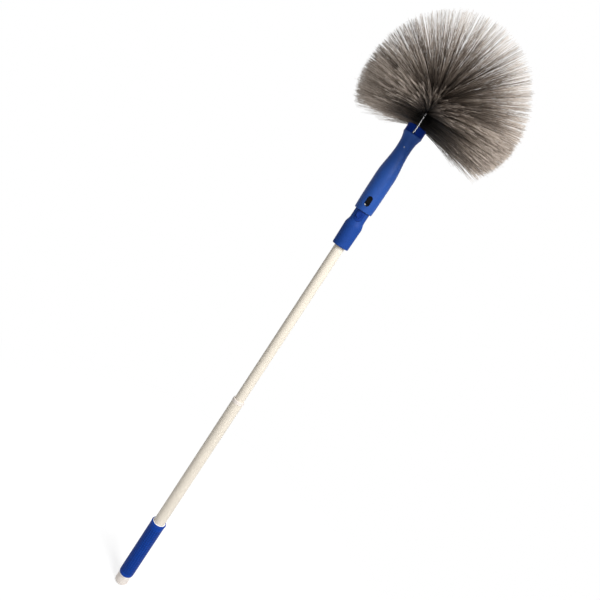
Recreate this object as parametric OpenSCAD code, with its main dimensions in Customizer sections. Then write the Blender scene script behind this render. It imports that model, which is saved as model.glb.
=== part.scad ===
// Cobweb brush: a two-part telescopic pole, a clip-on moulded handle and an arched, wire-bound head.
// Millimetres. +Z runs from the end cap up to the bristles and is the pole's axis. The origin is the
// middle of the cap's end face. The release pad, the handle's slot and one wire leg face -Y.

/* [Pole] */
// Outside diameter of the lower tube
outer_tube_d = 25; // [24.5:0.5:28]
// Outside diameter of the upper tube
inner_tube_d = 21; // [19.5:0.5:21.5]
// Wall of both tubes
tube_wall = 0.6; // [0.4:0.1:0.9]
// Length of the lower tube
outer_tube_len = 489; // [400:1:900]
// Length of the upper tube
inner_tube_len = 458; // [400:1:900]

/* [End cap] */
// How far the end cap's widest ring stands out from the tube
cap_out = 2.35; // [1.8:0.05:3.5]
// Wall of the end cap where it meets the grip
cap_wall = 1.5; // [1:0.1:1.6]
// Height of the end cap below the grip
cap_h = 22.5; // [18:0.5:30]
// Thickness of the end cap's floor
cap_floor = 8.5; // [4:0.5:10]
// Radius of the end cap's rounded end
cap_round = 5; // [3:0.5:6]
// Length of the cap's plug inside the tube
cap_plug_len = 24; // [16:1:30]
// Wall of the cap's plug
cap_plug_wall = 2.4; // [1.6:0.1:3.5]

/* [Grip] */
// Length of the blue grip
grip_len = 148; // [110:1:220]
// Wall of the blue grip
grip_wall = 1.85; // [1.5:0.05:4]
// How far the bead round the grip's top stands out
bead_out = 0.7; // [0.3:0.1:2]
// Height of that bead
bead_h = 4; // [3:0.5:6]
// How far the grip's lower end draws in
foot_in = 1.4; // [0.5:0.1:1.6]
// Height over which it draws in
foot_h = 5; // [3:0.5:10]
// Wall of the liner inside the grip
liner_wall = 1.65; // [1.2:0.05:2.5]
// How far the liner's lower flange stands out from the liner
liner_flange_out = 1.3; // [0.6:0.1:1.5]
// Height of the liner's lower flange
liner_flange_h = 2.4; // [1.5:0.1:4]
// Height of the liner's rim above the grip
liner_rise = 0.8; // [0.6:0.1:2]

/* [Guide bush] */
// How far the bush's lip stands out from the lower tube
bush_lip_out = 0.5; // [0.2:0.1:2]
// Height of that lip
bush_lip_h = 7.5; // [4:0.5:12]
// Chamfer on the lip's top edge
bush_chamfer = 1.2; // [0.6:0.1:1.6]
// Length of the bush inside the lower tube
bush_insert = 30; // [20:1:45]

/* [Twist lock] */
// Length of the lock plug inside the upper tube
plug_shank_len = 20; // [14:1:30]
// Height of the plug's stop flange
flange_h = 3; // [2:0.5:5]
// Height of the plug's wedge cone
cone_h = 9; // [7:0.5:12]
// Diameter of the cone at the flange
cone_big_d = 18; // [16:0.5:19]
// Diameter of the cone where it meets the spindle
cone_small_d = 12; // [11:0.5:14]
// Diameter of the plug's spindle
spindle_d = 10; // [8.5:0.5:10.5]
// Length of the spindle below the cone
spindle_len = 23; // [18:0.5:30]
// How far the split sleeve reaches up the cone
sleeve_overlap = 5; // [3:0.5:6]
// Width of the sleeve's slits
slit_w = 1.8; // [1:0.1:3]
// Number of slits in the sleeve
slit_count = 3; // [2:1:6]
// Height of the sleeve's unslit lower end
sleeve_ring_h = 8; // [5:0.5:12]
// Diameter of the stop washer
washer_d = 16; // [13:0.5:18]
// Thickness of the stop washer
washer_t = 1.2; // [0.8:0.1:2]
// Shank diameter of the stop screw
screw_d = 4; // [3:0.5:5]
// Length of the stop screw's shank in the spindle
screw_len = 16; // [10:1:18]
// Diameter of the cross pin through tube and plug
plug_pin_d = 3; // [2:0.5:4]

/* [Adaptor] */
// Diameter of the adaptor's lower end
socket_d = 33.9; // [32:0.1:37]
// Diameter of the adaptor below its shoulder
socket_top_d = 35.5; // [34:0.1:38]
// Height of the adaptor up to its shoulder
socket_h = 44.5; // [38:0.5:60]
// Height of the curved shoulder
shoulder_h = 15; // [10:0.5:22]
// Diameter of the neck and of the spigot
neck_d = 29.4; // [28.6:0.1:31]
// Height of the neck that shows below the handle
neck_h = 18; // [16:0.5:26]
// Length of the spigot inside the handle
spigot_len = 54.5; // [52:0.5:64]
// Wall of the spigot
spigot_wall = 2.7; // [2:0.1:3]
// Wall of the adaptor's outer skin
skin_wall = 2; // [1.5:0.1:2.6]
// Number of ribs between the skin and the inner sleeve
rib_count = 6; // [3:1:8]
// Thickness of those ribs
rib_t = 1.8; // [1.2:0.1:3]
// Shank diameter of the rear rivet
rivet_d = 3.2; // [2.4:0.1:4]
// Height of the rear rivet above the adaptor's lower end
rivet_h = 20; // [12:1:30]

/* [Release clip] */
// Width of the clip's block in the neck's window
clip_w = 15.5; // [14:0.1:17]
// Gap between the block and its window
clip_gap = 0.4; // [0.3:0.1:0.6]
// How far the block reaches down below the top of the shoulder
clip_drop = 3.2; // [1:0.1:5]
// Diameter of the round thumb pad
pad_d = 11.6; // [9:0.1:13]
// How far the pad stands proud of the neck
pad_proud = 0.9; // [0.6:0.1:1.6]
// Radius of the shallow thumb dish in the pad
pad_dish_r = 22; // [18:1:40]
// Height of the catch in the slot
catch_h = 4.8; // [3:0.1:6]
// How far the catch stands out of the spigot
catch_out = 2.8; // [2.4:0.1:3.2]
// Width of the spring leaf behind the block
leaf_w = 8.8; // [6:0.1:9]
// Thickness of the spring leaf
leaf_t = 1.6; // [1.2:0.1:2]
// Diameter of the trunnion at the leaf's root
trunnion_d = 3; // [2.4:0.1:3.4]

/* [Brush handle] */
// Length of the handle up to its lip
handle_len = 162; // [150:1:190]
// Diameter of the handle's lower end
handle_d = 36; // [35:0.1:40]
// Diameter of the handle's belly
belly_d = 38.2; // [36:0.1:42]
// Height of the belly above the handle's lower end
belly_h = 72; // [66:1:84]
// Diameter of the waist
waist_d = 27.9; // [27.5:0.1:31]
// Distance from the waist up to the lip
waist_drop = 31; // [26:1:38]
// Diameter of the lip
lip_d = 38.7; // [37.8:0.1:42]
// Wall of the hollow handle
handle_wall = 2.3; // [1.8:0.1:2.6]
// Width of the oval slot
slot_w = 10.4; // [9:0.1:13]
// Length of the oval slot
slot_len = 20.5; // [18:0.5:26]
// Height of the slot above the handle's lower end
slot_h = 10.7; // [9:0.1:12]

/* [Crown and wire] */
// Diameter of the crown band
crown_d = 36.5; // [35.5:0.1:37.5]
// Height of the crown band above the lip
crown_h = 15.7; // [12:0.1:20]
// Length of the crown plug's stem inside the handle
stem_len = 36; // [35:0.5:42]
// Diameter of the stem's core hole
core_d = 8; // [6:0.5:9]
// Diameter of the pin through the waist
anchor_pin_d = 2.6; // [2:0.1:3.2]
// Diameter of each of the two brush wires
wire_d = 2.1; // [1.6:0.1:2.4]
// Distance between the arch's two legs, centre to centre
arch_w = 30.4; // [29:0.1:31]
// Height of the arch above the crown
arch_h = 58; // [44:1:70]
// Distance from the axis at which the legs end
leg_end_y = 7; // [6.6:0.1:7.6]
// Length of the straight ends of the legs
leg_end_len = 20; // [12:0.5:20]

/* [Bristles] */
// Length of the bristles from the wire
bristle_len = 147; // [90:1:180]
// Rows of strands along the arch, which hold up to six and seven strands in turn
strand_rows = 76; // [48:2:90]
// Height of the lowest row above the crown
fill_start = 3; // [2:0.5:8]
// Wall of the core that the strands stand on
fill_wall = 0.8; // [0.6:0.1:1.2]
// How far the lowest strands slope down, in degrees
low_slope = 3; // [0:0.5:14]
// How far the lowest strands sink in front and rise behind, in degrees
low_nod = 6; // [0:0.5:10]
// How much shorter the lowest strands are, as a share of their length
low_short = 0.13; // [0:0.01:0.3]
// How far the ends of the upper level strands sink under their own weight
sag = 2; // [0:0.5:4]
// How much further the lowest strands sink, in times that
low_sag = 5; // [0:0.5:6]
// How far the head's upper strands lean to the right
lean = 13.5; // [0:0.5:18]
// How much less the lowest strands lean, as a share of that
low_firm = 0.3; // [0:0.05:1]
// How far to each side of straight out the legs' lower halves are bare, in degrees
bare_angle = 34; // [0:1:40]

/* [Hidden] */
$fn = 64;

CREAM = "#e6dccb";
BLUE = "#23408f";
DARK_BLUE = "#1c3480";
STEEL = "#c9ccd1";
GREY = "#9a9a98";
TAUPE = "#6d655e";

// Gap of a fixed seat, of a running fit, and between pieces that only pass each other
seat_gap = 0.05;
run_gap = 0.08;
pass_gap = 0.4;
stop_gap = 0.3;
over = 1;

// Radii of the lower pole, from the tube outwards
cap_r = outer_tube_d / 2 + cap_out;
liner_r = outer_tube_d / 2 + seat_gap + liner_wall;
grip_r = liner_r + seat_gap + grip_wall;
bead_r = grip_r + bead_out;

// Heights of the lower pole
tube_top = cap_floor + outer_tube_len;
grip_z = cap_h + liner_flange_h;
grip_top = grip_z + grip_len;
bush_top = tube_top + bush_lip_h;
outer_bore_d = outer_tube_d - 2 * tube_wall;
inner_bore_d = inner_tube_d - 2 * tube_wall;

// Heights of the lock, downwards from the upper tube's lower end
inner_z = tube_top - bush_insert - stop_gap;
cone_top = inner_z - flange_h;
cone_foot = cone_top - cone_h;
spindle_foot = cone_foot - spindle_len;
sleeve_top = cone_foot + sleeve_overlap;
sleeve_foot = spindle_foot + seat_gap;
washer_foot = spindle_foot - washer_t;

// Heights of the adaptor
socket_floor_h = 2;
floor_gap = 1.9;
socket_depth = socket_h + shoulder_h - clip_drop - clip_gap - floor_gap - socket_floor_h;
tube_end = inner_z + inner_tube_len;
adaptor_z = tube_end - socket_depth;
shoulder_z = adaptor_z + socket_h;
neck_z = shoulder_z + shoulder_h;
handle_z = neck_z + neck_h;
spigot_top = handle_z + spigot_len;
spigot_bore_r = neck_d / 2 - spigot_wall;
socket_bore_r = inner_tube_d / 2 + seat_gap;
inner_sleeve_wall = 2;
rivet_head_r = rivet_d;
rivet_sunk = 0.4;

// The slot, the catch and the clip
pad_rise = 12.5;
window_rise = 2;
trunnion_drop = 8.2;
trunnion_short = 0.2;
leaf_inset = 2.2;
block_inset = 1.8;
slot_foot = handle_z + slot_h;
slot_top = slot_foot + slot_len;
catch_gap = 0.8;
catch_foot = slot_foot + catch_gap;
catch_top = catch_foot + catch_h;
clip_foot = neck_z - clip_drop;
pad_z = clip_foot + pad_rise;
window_top = slot_top + window_rise;
trunnion_z = spigot_top - trunnion_drop;
leaf_y = -(spigot_bore_r - leaf_inset);
cheek_t = 2.4;
cheek_gap = 0.4;
block_in_r = spigot_bore_r - block_inset;
trunnion_reach = leaf_w / 2 + cheek_gap + cheek_t - trunnion_short;

// Heights of the handle and the crown
lip_z = handle_z + handle_len;
crown_top = lip_z + crown_h;
ledge_z = spigot_top + stop_gap;
ledge_h = 3;
ledge_out = 0.4;
ledge_r = spigot_bore_r + ledge_out;
waist_h = handle_len - waist_drop;
stem_foot = lip_z - stem_len;
pin_rise = 9;
pin_z = stem_foot + pin_rise;

// The brush wires: two strands side by side, so the pair is two wires wide
arch_r = arch_w / 2;
arch_z = crown_top + arch_h - arch_r;
wire_gap = 0.1;
wire_pitch = wire_d + wire_gap;
leg_bend_r = (arch_r - leg_end_y) / 2;
bend_rise = 5;
bend_z = lip_z + bend_rise;
bend_foot = bend_z - 2 * leg_bend_r;
leg_foot = bend_foot - leg_end_len;
pair_w = wire_pitch + wire_d;
notch_w = pair_w + 2 * stop_gap;

// Half the cosine of a rise from a to b as t goes from 0 to 1
function ease(a, b, t) = a + (b - a) * (1 - cos(180 * t)) / 2;

// The handle's outside radius at a height above its lower end
function handle_r(h) =
    h < belly_h ? belly_d / 2 - (belly_d - handle_d) / 2 * pow(1 - h / belly_h, 4)
    : h < waist_h ? ease(belly_d / 2, waist_d / 2, (h - belly_h) / (waist_h - belly_h))
    : waist_d / 2 + (lip_d - waist_d) / 2 * pow((h - waist_h) / (handle_len - waist_h), 2.8);

module ring(r_out, r_in, z, h) {
    translate([0, 0, z])
    difference() {
        cylinder(r = r_out, h = h);
        translate([0, 0, -over])
        cylinder(r = r_in, h = h + 2 * over);
    }
}

// Quarter-circle points of a rounded corner, from angle a0 to a1 about a centre
function corner(c, r, a0, a1, steps = 6) =
    [for (i = [0:steps]) c + r * [cos(a0 + (a1 - a0) * i / steps), sin(a0 + (a1 - a0) * i / steps)]];

module end_cap() {
    color(CREAM)
    difference() {
        union() {
            rotate_extrude()
            polygon(concat([[0, 0]], corner([cap_r - cap_round, cap_round], cap_round, -90, 0),
                [[outer_tube_d / 2 + cap_wall, cap_h], [0, cap_h]]));
            translate([0, 0, cap_floor])
            cylinder(d = outer_bore_d - 2 * seat_gap, h = cap_plug_len);
        }
        ring(outer_tube_d / 2 + seat_gap, outer_bore_d / 2 - seat_gap, cap_floor, cap_h);
        translate([0, 0, cap_floor])
        cylinder(d = outer_bore_d - 2 * seat_gap - 2 * cap_plug_wall, h = cap_plug_len + over);
    }
}

module outer_tube() {
    color(CREAM)
    ring(outer_tube_d / 2, outer_bore_d / 2, cap_floor, outer_tube_len);
}

module grip_liner() {
    bore_r = outer_tube_d / 2 + seat_gap;
    flange_r = liner_r + liner_flange_out;
    top = grip_top + liner_rise;
    rim = 0.5;
    color(CREAM)
    rotate_extrude()
    polygon([[bore_r, cap_h], [flange_r - rim, cap_h], [flange_r, cap_h + rim], [flange_r, grip_z],
        [liner_r, grip_z], [liner_r, top - rim], [liner_r - rim, top], [bore_r, top]]);
}

module grip_sleeve() {
    bore_r = liner_r + seat_gap;
    round_r = bead_h / 2;
    color(BLUE)
    rotate_extrude()
    polygon(concat([[bore_r, grip_z]],
        [for (a = [0:15:90]) [grip_r - foot_in * (1 - sin(a)), grip_z + foot_h * (1 - cos(a))]],
        [[grip_r, grip_top - bead_h]],
        corner([bead_r - round_r, grip_top - round_r], round_r, -30, 90),
        [[bore_r, grip_top]]));
}

module guide_bush() {
    bore_r = inner_tube_d / 2 + run_gap;
    insert_r = outer_bore_d / 2 - seat_gap;
    lip_r = outer_tube_d / 2 + bush_lip_out;
    color(CREAM)
    rotate_extrude()
    polygon([[bore_r, tube_top - bush_insert], [insert_r, tube_top - bush_insert],
        [insert_r, tube_top], [lip_r, tube_top], [lip_r, bush_top - bush_chamfer],
        [lip_r - bush_chamfer, bush_top], [bore_r, bush_top]]);
}

module lock_plug() {
    color(GREY)
    difference() {
        union() {
            translate([0, 0, inner_z])
            cylinder(d = inner_bore_d - 2 * seat_gap, h = plug_shank_len);
            translate([0, 0, cone_top])
            cylinder(d = outer_bore_d - 2 * pass_gap, h = flange_h);
            translate([0, 0, cone_foot])
            cylinder(d1 = cone_small_d, d2 = cone_big_d, h = cone_h);
            translate([0, 0, spindle_foot])
            cylinder(d = spindle_d, h = spindle_len + over);
        }
        translate([0, 0, spindle_foot - over])
        cylinder(d = screw_d + 2 * seat_gap, h = screw_len + 2 * over);
        cross_pin(plug_pin_d / 2 + seat_gap, inner_tube_d);
    }
}

// The cross pin's height, half way up the plug's shank
module cross_pin(r, length) {
    translate([0, length / 2, inner_z + plug_shank_len / 2])
    rotate([90, 0, 0])
    cylinder(r = r, h = length);
}

module plug_pin() {
    color(STEEL)
    cross_pin(plug_pin_d / 2, inner_tube_d - tube_wall);
}

module expanding_sleeve() {
    slope = (cone_big_d - cone_small_d) / 2 / cone_h;
    mouth_r = cone_small_d / 2 + slope * sleeve_overlap + stop_gap;
    throat_z = cone_foot - (cone_small_d / 2 + stop_gap - spindle_d / 2 - run_gap) / slope;
    color(GREY)
    difference() {
        rotate_extrude()
        polygon([[spindle_d / 2 + run_gap, sleeve_foot], [outer_bore_d / 2 - run_gap, sleeve_foot],
            [outer_bore_d / 2 - run_gap, sleeve_top], [mouth_r, sleeve_top],
            [spindle_d / 2 + run_gap, throat_z]]);
        for (i = [0:slit_count - 1])
            rotate([0, 0, 90 + 360 * i / slit_count])
            translate([0, -slit_w / 2, sleeve_foot + sleeve_ring_h])
            cube([outer_bore_d, slit_w, sleeve_top - sleeve_foot]);
    }
}

module stop_washer() {
    color(STEEL)
    ring(washer_d / 2, screw_d / 2 + stop_gap, washer_foot, washer_t);
}

module stop_screw() {
    head_r = screw_d;
    head_h = 0.7 * screw_d;
    color(STEEL)
    difference() {
        union() {
            translate([0, 0, washer_foot - head_h])
            cylinder(r = head_r, h = head_h);
            translate([0, 0, washer_foot - over / 2])
            cylinder(d = screw_d, h = washer_t + screw_len + over / 2);
        }
        for (turn = [0, 90])
            rotate([0, 0, turn])
            translate([-head_r * 0.6, -0.5, washer_foot - head_h - over])
            cube([head_r * 1.2, 1, over + head_h / 2]);
    }
}

module inner_tube() {
    color(CREAM)
    difference() {
        ring(inner_tube_d / 2, inner_bore_d / 2, inner_z, inner_tube_len);
        cross_pin(plug_pin_d / 2 + seat_gap, inner_tube_d + 2 * over);
        rivet_hole();
    }
}

module rivet_hole() {
    translate([0, socket_top_d, adaptor_z + rivet_h])
    rotate([90, 0, 0])
    cylinder(d = rivet_d + 2 * seat_gap, h = socket_top_d);
}

// The adaptor's outside radius at the rivet's height
function skin_r(h) = socket_d / 2 + (socket_top_d - socket_d) / 2 * h / socket_h;

// Where the rivet's head sits, a little below the adaptor's skin
rivet_y = skin_r(rivet_h) - rivet_sunk;

module adaptor_rivet() {
    head_h = 1.2;
    tail_r = 0.75 * rivet_d;
    tail_h = 1.5;
    tail_top = sqrt(pow(inner_bore_d / 2, 2) - pow(tail_r, 2)) - seat_gap;
    color(STEEL)
    translate([0, rivet_y, adaptor_z + rivet_h])
    rotate([-90, 0, 0]) {
        rotate_extrude()
        polygon([[0, 0], [rivet_head_r, 0], [rivet_head_r, head_h / 2], [rivet_head_r * 0.6, head_h],
            [0, head_h]]);
        translate([0, 0, tail_top - rivet_y - over / 2])
        cylinder(d = rivet_d, h = rivet_y - tail_top + over);
        translate([0, 0, tail_top - rivet_y - tail_h])
        cylinder(r = tail_r, h = tail_h);
    }
}

// The window's and the block's outline, seen from the front: straight sides on a half-round foot
module clip_outline(grow, top) {
    r = clip_w / 2 + grow;
    centre_z = clip_foot + clip_w / 2;
    translate([0, centre_z])
    circle(r);
    translate([-r, centre_z])
    square([2 * r, top - centre_z]);
}

// Stands an outline drawn in X and Z up in front of the axis, from y_out to y_in
module stand_in_front(y_out, y_in) {
    translate([0, y_in, 0])
    rotate([90, 0, 0])
    linear_extrude(height = y_in - y_out)
    children();
}

module oval(grow) {
    r = slot_w / 2 + grow;
    for (z = [slot_foot + slot_w / 2, slot_top - slot_w / 2])
        translate([0, z])
        circle(r);
    translate([-r, slot_foot + slot_w / 2])
    square([2 * r, slot_len - slot_w]);
}

module adaptor() {
    foot_round = 2;
    steps = 14;
    core_top = shoulder_z - skin_wall;
    boss_w = 2.4 * rivet_d;
    cheek_x = leaf_w / 2 + cheek_gap;
    color(BLUE)
    difference() {
        union() {
            difference() {
                rotate_extrude()
                polygon(concat([[0, adaptor_z]],
                    corner([socket_d / 2 - foot_round, adaptor_z + foot_round], foot_round, -90, 0),
                    [for (i = [0:steps]) [ease(socket_top_d / 2, neck_d / 2, i / steps),
                        shoulder_z + shoulder_h * i / steps]],
                    [[neck_d / 2, spigot_top - over], [neck_d / 2 - over, spigot_top], [0, spigot_top]]));
                translate([0, 0, tube_end + socket_floor_h])
                cylinder(r = spigot_bore_r, h = spigot_top);
            }
            for (side = [-1, 1])
                translate([side * (cheek_x + cheek_t / 2), leaf_y - over / 2, trunnion_z])
                cube([cheek_t, trunnion_d + 2, trunnion_d + 4], center = true);
        }
        translate([0, 0, adaptor_z - over])
        cylinder(r = socket_bore_r, h = socket_depth + over);
        translate([0, 0, adaptor_z])
        cylinder(d = inner_bore_d, h = spigot_top - adaptor_z - spigot_len);
        difference() {
            ring(socket_d / 2 - skin_wall, socket_bore_r + inner_sleeve_wall, adaptor_z - over,
                core_top - adaptor_z);
            for (i = [0:rib_count - 1])
                rotate([0, 0, 90 + 360 * i / rib_count])
                translate([0, -rib_t / 2, adaptor_z - 2 * over])
                cube([socket_d, rib_t, socket_h]);
            translate([-boss_w / 2, 0, adaptor_z - 2 * over])
            cube([boss_w, socket_d, socket_h]);
        }
        stand_in_front(-socket_top_d, -over)
        clip_outline(clip_gap, catch_top + clip_gap);
        stand_in_front(-socket_top_d, -over)
        translate([-slot_w / 2, catch_top])
        square([slot_w, window_top - catch_top]);
        rivet_hole();
        translate([0, rivet_y, adaptor_z + rivet_h])
        rotate([-90, 0, 0])
        cylinder(r = rivet_head_r + stop_gap, h = socket_d);
        trunnion_seat();
    }
}

// The trunnion's two blind seats, each with a narrower mouth that the trunnion snaps in through
module trunnion_seat() {
    reach = trunnion_reach + stop_gap;
    mouth_h = 0.85 * trunnion_d;
    translate([-reach, leaf_y, trunnion_z])
    rotate([0, 90, 0])
    cylinder(d = trunnion_d + 2 * run_gap, h = 2 * reach);
    translate([-reach, leaf_y, trunnion_z - mouth_h / 2])
    cube([2 * reach, trunnion_d + 2, mouth_h]);
}

module release_clip() {
    neck_r = neck_d / 2;
    out_r = neck_r + catch_out;
    ramp = 35;
    dish_h = 0.7;
    color(DARK_BLUE)
    union() {
        intersection() {
            stand_in_front(-neck_d, -block_in_r / 2)
            clip_outline(0, catch_top);
            ring(neck_r, block_in_r, clip_foot - over, catch_top - clip_foot + 2 * over);
        }
        difference() {
            translate([0, -block_in_r - over, pad_z])
            rotate([90, 0, 0])
            cylinder(d = pad_d, h = neck_r + pad_proud - block_in_r - over);
            translate([0, -neck_r - pad_proud - pad_dish_r + dish_h, pad_z])
            sphere(r = pad_dish_r);
        }
        difference() {
            intersection() {
                stand_in_front(-out_r, -neck_r + over)
                intersection() {
                    oval(-catch_gap);
                    translate([-slot_w, catch_foot])
                    square([2 * slot_w, catch_h]);
                }
                cylinder(r = out_r, h = catch_top + over);
            }
            translate([0, -out_r, catch_top - catch_h * 0.5])
            rotate([-ramp, 0, 0])
            translate([-slot_w, -slot_w, 0])
            cube([2 * slot_w, slot_w, slot_w]);
        }
        translate([-leaf_w / 2, leaf_y - leaf_t / 2, catch_foot])
        cube([leaf_w, leaf_t, trunnion_z - catch_foot]);
        translate([-leaf_w / 2, -block_in_r - over, catch_foot])
        cube([leaf_w, block_in_r + over + leaf_y, catch_h]);
        translate([-trunnion_reach, leaf_y, trunnion_z])
        rotate([0, 90, 0])
        cylinder(d = trunnion_d, h = 2 * trunnion_reach);
    }
}

module brush_handle() {
    steps = 36;
    edge = 0.8;
    bore_r = neck_d / 2 + run_gap;
    cavity_h = ledge_z + ledge_h - handle_z;
    outside = [for (i = [0:steps]) let (h = edge + (handle_len - 2 * edge) * i / steps)
        [handle_r(h), handle_z + h]];
    inside = [for (i = [0:steps]) let (h = handle_len + (cavity_h - handle_len) * i / steps)
        [handle_r(h) - handle_wall, handle_z + h]];
    color(BLUE)
    difference() {
        rotate_extrude()
        polygon(concat([[bore_r, handle_z], [handle_d / 2 - edge, handle_z]], outside,
            [[handle_r(handle_len) - edge, lip_z]], inside,
            [[ledge_r, ledge_z + ledge_h], [ledge_r, ledge_z], [bore_r, ledge_z]]));
        stand_in_front(-belly_d, -over)
        oval(0);
        anchor_bore();
    }
}

module anchor_bore() {
    translate([0, waist_d, pin_z])
    rotate([90, 0, 0])
    cylinder(d = anchor_pin_d + 2 * seat_gap, h = 2 * waist_d);
}

// Points down the inner side of a wire leg, a gap away from it, as distance from the axis and height
function leg_inside(gap) =
    let (middle = leg_end_y + leg_bend_r, reach = wire_d / 2 + gap)
    concat(corner([middle, bend_z], leg_bend_r - reach, 0, -90),
        corner([middle, bend_foot], leg_bend_r + reach, 90, 180));

// The channel of one leg: from its inner side out through the plug's surface
module leg_channel() {
    far = lip_d;
    path = leg_inside(stop_gap);
    last = path[len(path) - 1];
    translate([-notch_w / 2, 0, 0])
    rotate([90, 0, 90])
    linear_extrude(height = notch_w)
    polygon(concat([[path[0][0], crown_top + over]], path,
        [[last[0], leg_foot - stop_gap], [far, leg_foot - stop_gap], [far, crown_top + over]]));
}

module crown_plug() {
    steps = 18;
    edge = 0.8;
    stem = [for (i = [0:steps]) let (z = stem_foot + stem_len * i / steps)
        [handle_r(max(z - handle_z, waist_h)) - handle_wall - run_gap, z]];
    color(DARK_BLUE)
    difference() {
        rotate_extrude()
        polygon(concat([[0, stem_foot]], stem, [[stem[steps][0], lip_z + seat_gap],
            [crown_d / 2, lip_z + seat_gap], [crown_d / 2, crown_top - edge],
            [crown_d / 2 - edge, crown_top], [0, crown_top]]));
        leg_channel();
        mirror([0, 1, 0])
        leg_channel();
        translate([0, 0, stem_foot - over])
        cylinder(d = core_d, h = stem_len + crown_h / 2);
        anchor_bore();
    }
}

module anchor_pin() {
    proud = 0.3;
    reach = handle_r(pin_z - handle_z) + proud;
    color(STEEL)
    translate([0, reach, pin_z])
    rotate([90, 0, 0])
    cylinder(d = anchor_pin_d, h = 2 * reach);
}

// One leg of one wire, drawn from the height of its bend: straight, bent in to the axis, straight again
module wire_leg() {
    r = wire_d / 2;
    translate([0, arch_r, 0])
    cylinder(r = r, h = arch_z - bend_z);
    translate([0, leg_end_y, leg_foot - bend_z])
    cylinder(r = r, h = leg_end_len);
    rotate([90, 0, 90]) {
        translate([leg_end_y + leg_bend_r, 0])
        rotate([0, 0, -90])
        wire_bend(leg_bend_r, 90);
        translate([leg_end_y + leg_bend_r, bend_foot - bend_z])
        rotate([0, 0, 90])
        wire_bend(leg_bend_r, 90);
    }
}

module wire_bend(r, angle) {
    rotate_extrude(angle = angle)
    translate([r, 0])
    circle(wire_d / 2);
}

module wire_loop() {
    color(STEEL)
    for (side = [-1, 1])
        translate([side * wire_pitch / 2, 0, bend_z]) {
            wire_leg();
            mirror([0, 1, 0])
            wire_leg();
            translate([0, 0, arch_z - bend_z])
            rotate([90, 0, 90])
            wire_bend(arch_r, 180);
        }
}

// The bristles stand on a thin core that follows the wire from one leg over the arch to the other.
// A place on the core is a length along the arch and an angle round it from the arch's outside.
core_sides = 12;
core_step = 360 / core_sides;
core_in_r = (pair_w / 2 + seat_gap) / cos(core_step / 2);
core_out_r = core_in_r + fill_wall;
leg_len = arch_z - crown_top - fill_start;
arc_len = PI * arch_r;
core_len = 2 * leg_len + arc_len;

// How far round the arch a place is: 0 on the front leg, 180 on the rear leg
function turn_at(u) = 180 * min(1, max(0, (u - leg_len) / arc_len));
// How far below the arch's round top a place is
function drop_at(u) = max(0, leg_len - u, u - leg_len - arc_len);
function wire_at(u) = [0, -arch_r * cos(turn_at(u)), arch_z - drop_at(u) + arch_r * sin(turn_at(u))];
function out_at(u, a) = [sin(a), -cos(a) * cos(turn_at(u)), cos(a) * sin(turn_at(u))];
function core_at(u, a, r) = wire_at(u) + r * out_at(u, a);

// A spread of numbers from -1 to 1 that never repeats
function scatter(i) = let (x = i * 0.618034) 2 * (x - floor(x)) - 1;

// Angle of a strand on a row: even rows hold up to six and odd rows up to seven
function strand_angle(k, i) = core_step * (i - (k % 2 == 0 ? 2.5 : 3));
function row_count(k) = k % 2 == 0 ? 6 : 7;

// Where a row stands on the arch, and how low: 0 on the round top and 1 at the legs' lowest row
function row_u(k) = core_len * (k + 1 / 3) / strand_rows;
function row_low(k) = drop_at(row_u(k)) / leg_len;

// A row has no strand straight out from a leg's lower half, where the wire shows
bare_from = 0.4;
bare_over = 0.2;
function has_strand(k, i) = i < row_count(k)
    && abs(strand_angle(k, i)) >= bare_angle * min(1, max(0, (row_low(k) - bare_from) / bare_over));

// How far the end of a level strand sinks, by how low its row is
function sink_at(low) = sag * (1 + low_sag * low);

// Where a strand ends
turn_scatter = 2.5;
slope_scatter = 0.25;
reach_scatter = 0.03;
function strand_tip(k, i) =
    let (u = row_u(k), low = row_low(k), number = 13 * k + 2 * i,
        a = strand_angle(k, i) + turn_scatter * scatter(number),
        out = out_at(u, a), slope = low_slope * low + slope_scatter * scatter(number + 5),
        way = out + [0, 0, tan(low_nod) * low * out[1] - tan(slope)],
        reach = bristle_len * (1 - low_short * low * low) * (1 + reach_scatter * scatter(number + 9)))
    wire_at(u) + reach * way / norm(way)
        + [lean * (1 - low_firm * low), 0, -sink_at(low) * pow(norm([way[0], way[1]]), 2)];

// A strand's ring of three points: the root triangle shrunk about its middle and moved to a new middle
function strand_ring(root, middle, shrink) =
    let (centre = (root[0] + root[1] + root[2]) / 3)
    [for (p = root) middle + shrink * (p - centre)];

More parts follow.
